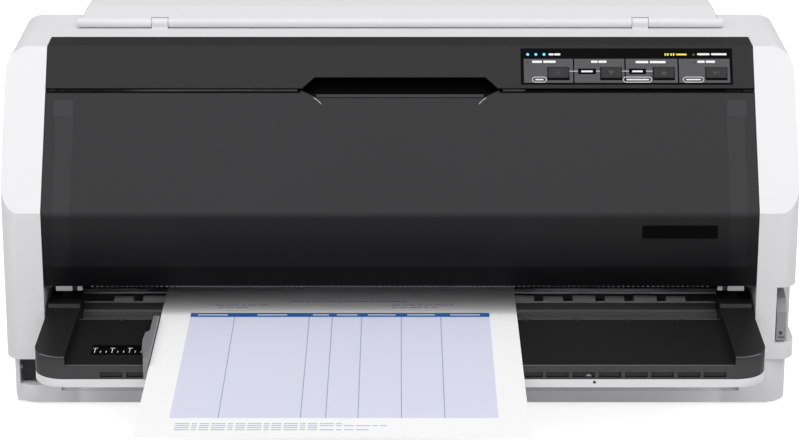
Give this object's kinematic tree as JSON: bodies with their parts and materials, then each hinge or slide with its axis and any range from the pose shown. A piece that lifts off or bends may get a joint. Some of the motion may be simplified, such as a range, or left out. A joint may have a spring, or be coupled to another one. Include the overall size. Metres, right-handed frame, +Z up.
{
  "type": "dot matrix printer",
  "caption": "Wide flatbed dot matrix printer with a tinted front cover, sheet table, control panel and rear tractor cover",
  "frame": {"origin": "on the desk, below the middle of the printer's box with its form lying out in front", "axes": "+X to the right seen from the front, +Y towards the back, +Z up"},
  "size_m": [0.48, 0.477, 0.221],
  "materials": {
    "grey_case": "fine satin grain",
    "feet_rubber": "matte rubber",
    "white_case": "fine satin grain",
    "black_panel": "fine grain",
    "plate_print": "printed overlay",
    "board_green": "solder mask",
    "table_black": "fine texture",
    "steel": "zinc plated sheet",
    "shaft_steel": "ground and plated",
    "motor_metal": "black zinc",
    "dark_plastic": "satin",
    "belt_rubber": "ribbed",
    "smoke_cover": "dark smoke tint, smooth",
    "tear_metal": "satin",
    "button_grey": "satin",
    "lever_grey": "satin",
    "lever_blue": "satin",
    "guide_grey": "satin",
    "brass_part": "turned",
    "gear_plastic": "natural acetal",
    "roller_rubber": "matte rubber",
    "form_paper": "pre-printed form"
  },
  "bodies": {
    "root": {"lower_case": "grey_case", "rubber_feet": "feet_rubber", "upper_case": "white_case", "control_panel": "black_panel", "panel_plate": "plate_print", "panel_board": "board_green", "front_shelf": "white_case", "sheet_table": "table_black", "left_side_frame": "steel", "right_side_frame": "steel", "cross_bar": "table_black", "paper_guide_plate": "steel", "carriage_rod": "shaft_steel", "rear_rail": "steel", "carriage_motor": "motor_metal", "feed_motor": "motor_metal", "main_board": "board_green", "power_supply": "steel", "ac_inlet": "dark_plastic", "parallel_port": "steel", "usb_port": "steel", "slot_cover": "steel", "case_screws": "steel", "timing_belt": "belt_rubber", "tractor_rod": "shaft_steel", "ribbon_cartridge": "dark_plastic"},
    "printer_cover": {"printer_cover": "smoke_cover", "tear_off_edge": "tear_metal"},
    "rear_cover": {"rear_cover": "white_case"},
    "power_switch": {"power_switch": "dark_plastic"},
    "menu_button": {"menu_button": "button_grey"},
    "line_feed_button": {"line_feed_button": "button_grey"},
    "load_button": {"load_button": "button_grey"},
    "pause_button": {"pause_button": "button_grey"},
    "release_lever": {"release_lever": "lever_grey"},
    "thickness_lever": {"thickness_lever": "lever_blue"},
    "edge_guide": {"edge_guide": "guide_grey"},
    "carriage": {"carriage": "dark_plastic", "print_head": "motor_metal"},
    "drive_pulley": {"drive_pulley": "brass_part"},
    "idler_pulley": {"idler_pulley": "gear_plastic"},
    "ribbon_knob": {"ribbon_knob": "lever_blue"},
    "platen": {"platen_roller": "roller_rubber", "platen_gear": "gear_plastic"},
    "front_feed": {"front_feed_roller": "roller_rubber", "front_roller_gear": "gear_plastic"},
    "rear_feed": {"rear_feed_roller": "roller_rubber", "rear_roller_gear": "gear_plastic"},
    "front_idler": {"front_idler_gear": "gear_plastic"},
    "rear_idler": {"rear_idler_gear": "gear_plastic"},
    "feed_pinion": {"feed_pinion": "brass_part"},
    "tractor_idler": {"tractor_idler_gear": "gear_plastic"},
    "tractor_shaft": {"tractor_shaft": "shaft_steel"},
    "left_tractor": {"left_tractor": "dark_plastic"},
    "right_tractor": {"right_tractor": "dark_plastic"},
    "left_sprocket": {"left_sprocket": "gear_plastic"},
    "right_sprocket": {"right_sprocket": "gear_plastic"},
    "left_flap": {"left_tractor_flap": "dark_plastic"},
    "right_flap": {"right_tractor_flap": "dark_plastic"},
    "paper_form": {"paper_form": "form_paper"}
  },
  "joints": [
    {"name": "cover_hinge", "type": "hinge", "parent": "root", "child": "printer_cover", "pos_m": [0, -0.0325, 0.084], "axis": [1, 0, 0], "range_deg": [0, 84]},
    {"name": "rear_cover_hinge", "type": "hinge", "parent": "root", "child": "rear_cover", "pos_m": [0, 0.0575, 0.2144], "axis": [1, 0, 0], "range_deg": [0, 70]},
    {"name": "switch_rock", "type": "hinge", "parent": "root", "child": "power_switch", "pos_m": [-0.2228, -0.0385, 0.02145], "axis": [1, 0, 0], "range_deg": [-4, 4]},
    {"name": "menu_press", "type": "slide", "parent": "root", "child": "menu_button", "axis": [0, 0.8099, -0.5865], "range_m": [0, 0.0008], "stiffness_N_per_m": 250, "springref_m": -0.001},
    {"name": "line_feed_press", "type": "slide", "parent": "root", "child": "line_feed_button", "axis": [0, 0.8099, -0.5865], "range_m": [0, 0.0008], "stiffness_N_per_m": 250, "springref_m": -0.001},
    {"name": "load_press", "type": "slide", "parent": "root", "child": "load_button", "axis": [0, 0.8099, -0.5865], "range_m": [0, 0.0008], "stiffness_N_per_m": 250, "springref_m": -0.001},
    {"name": "pause_press", "type": "slide", "parent": "root", "child": "pause_button", "axis": [0, 0.8099, -0.5865], "range_m": [0, 0.0008], "stiffness_N_per_m": 250, "springref_m": -0.001},
    {"name": "release_swing", "type": "hinge", "parent": "root", "child": "release_lever", "pos_m": [0.231, -0.0295, 0.064], "axis": [-1, 0, 0], "range_deg": [0, 14]},
    {"name": "thickness_swing", "type": "hinge", "parent": "root", "child": "thickness_lever", "pos_m": [0.202, 0.0335, 0.123], "axis": [1, 0, 0], "range_deg": [-15, 15]},
    {"name": "guide_slide", "type": "slide", "parent": "root", "child": "edge_guide", "axis": [1, 0, 0], "range_m": [-0.038, 0]},
    {"name": "carriage_slide", "type": "slide", "parent": "root", "child": "carriage", "axis": [1, 0, 0], "range_m": [-0.018, 0.318]},
    {"name": "drive_pulley_turn", "type": "hinge", "parent": "root", "child": "drive_pulley", "pos_m": [0.186, 0.0744, 0.095], "axis": [0, 0, 1], "range_deg": [-130, 2200]},
    {"name": "idler_pulley_turn", "type": "hinge", "parent": "root", "child": "idler_pulley", "pos_m": [-0.186, 0.0744, 0.095], "axis": [0, 0, 1], "range_deg": [-130, 2200]},
    {"name": "knob_turn", "type": "hinge", "parent": "root", "child": "ribbon_knob", "pos_m": [0.15, -0.0255, 0.11], "axis": [0, 0, 1], "continuous": true},
    {"name": "platen_turn", "type": "hinge", "parent": "root", "child": "platen", "pos_m": [0, 0.0185, 0.0447], "axis": [1, 0, 0], "continuous": true},
    {"name": "front_feed_turn", "type": "hinge", "parent": "root", "child": "front_feed", "pos_m": [0, -0.0095, 0.0497], "axis": [1, 0, 0], "continuous": true},
    {"name": "rear_feed_turn", "type": "hinge", "parent": "root", "child": "rear_feed", "pos_m": [0, 0.0485, 0.0497], "axis": [1, 0, 0], "continuous": true},
    {"name": "front_idler_turn", "type": "hinge", "parent": "root", "child": "front_idler", "pos_m": [-0.211, -0.00029, 0.03786], "axis": [1, 0, 0], "continuous": true},
    {"name": "rear_idler_turn", "type": "hinge", "parent": "root", "child": "rear_idler", "pos_m": [-0.211, 0.03774, 0.03925], "axis": [1, 0, 0], "continuous": true},
    {"name": "pinion_turn", "type": "hinge", "parent": "root", "child": "feed_pinion", "pos_m": [-0.211, 0.0509, 0.03446], "axis": [1, 0, 0], "continuous": true},
    {"name": "tractor_idler_turn", "type": "hinge", "parent": "root", "child": "tractor_idler", "pos_m": [-0.211, 0.07359, 0.06956], "axis": [1, 0, 0], "continuous": true},
    {"name": "tractor_shaft_turn", "type": "hinge", "parent": "root", "child": "tractor_shaft", "pos_m": [0, 0.1085, 0.067], "axis": [1, 0, 0], "continuous": true},
    {"name": "left_tractor_slide", "type": "slide", "parent": "root", "child": "left_tractor", "axis": [1, 0, 0], "range_m": [-0.03, 0.05]},
    {"name": "right_tractor_slide", "type": "slide", "parent": "root", "child": "right_tractor", "axis": [1, 0, 0], "range_m": [-0.08, 0.08]},
    {"name": "left_sprocket_turn", "type": "hinge", "parent": "left_tractor", "child": "left_sprocket", "pos_m": [-0.15, 0.1085, 0.067], "axis": [1, 0, 0], "continuous": true},
    {"name": "right_sprocket_turn", "type": "hinge", "parent": "right_tractor", "child": "right_sprocket", "pos_m": [0.075, 0.1085, 0.067], "axis": [1, 0, 0], "continuous": true},
    {"name": "left_flap_hinge", "type": "hinge", "parent": "left_tractor", "child": "left_flap", "pos_m": [-0.1635, 0.1185, 0.08], "axis": [0, -1, 0], "range_deg": [0, 110]},
    {"name": "right_flap_hinge", "type": "hinge", "parent": "right_tractor", "child": "right_flap", "pos_m": [0.0885, 0.1185, 0.08], "axis": [0, 1, 0], "range_deg": [0, 110]},
    {"name": "form_slide", "type": "slide", "parent": "root", "child": "paper_form", "axis": [0, 1, 0], "range_m": [-0.12, 0.04]}
  ],
  "couplings": [
    {"joint": "drive_pulley_turn", "follows": "carriage_slide", "rad_per_m": 112.36},
    {"joint": "idler_pulley_turn", "follows": "carriage_slide", "rad_per_m": 112.36},
    {"joint": "front_feed_turn", "follows": "platen_turn", "ratio": 1.7143},
    {"joint": "rear_feed_turn", "follows": "platen_turn", "ratio": 1.7143},
    {"joint": "front_idler_turn", "follows": "platen_turn", "ratio": -1.5},
    {"joint": "rear_idler_turn", "follows": "platen_turn", "ratio": -1.5},
    {"joint": "pinion_turn", "follows": "platen_turn", "ratio": 2},
    {"joint": "tractor_idler_turn", "follows": "platen_turn", "ratio": -0.48},
    {"joint": "tractor_shaft_turn", "follows": "platen_turn", "ratio": 1.2},
    {"joint": "left_sprocket_turn", "follows": "platen_turn", "ratio": 1.2},
    {"joint": "right_sprocket_turn", "follows": "platen_turn", "ratio": 1.2}
  ]
}
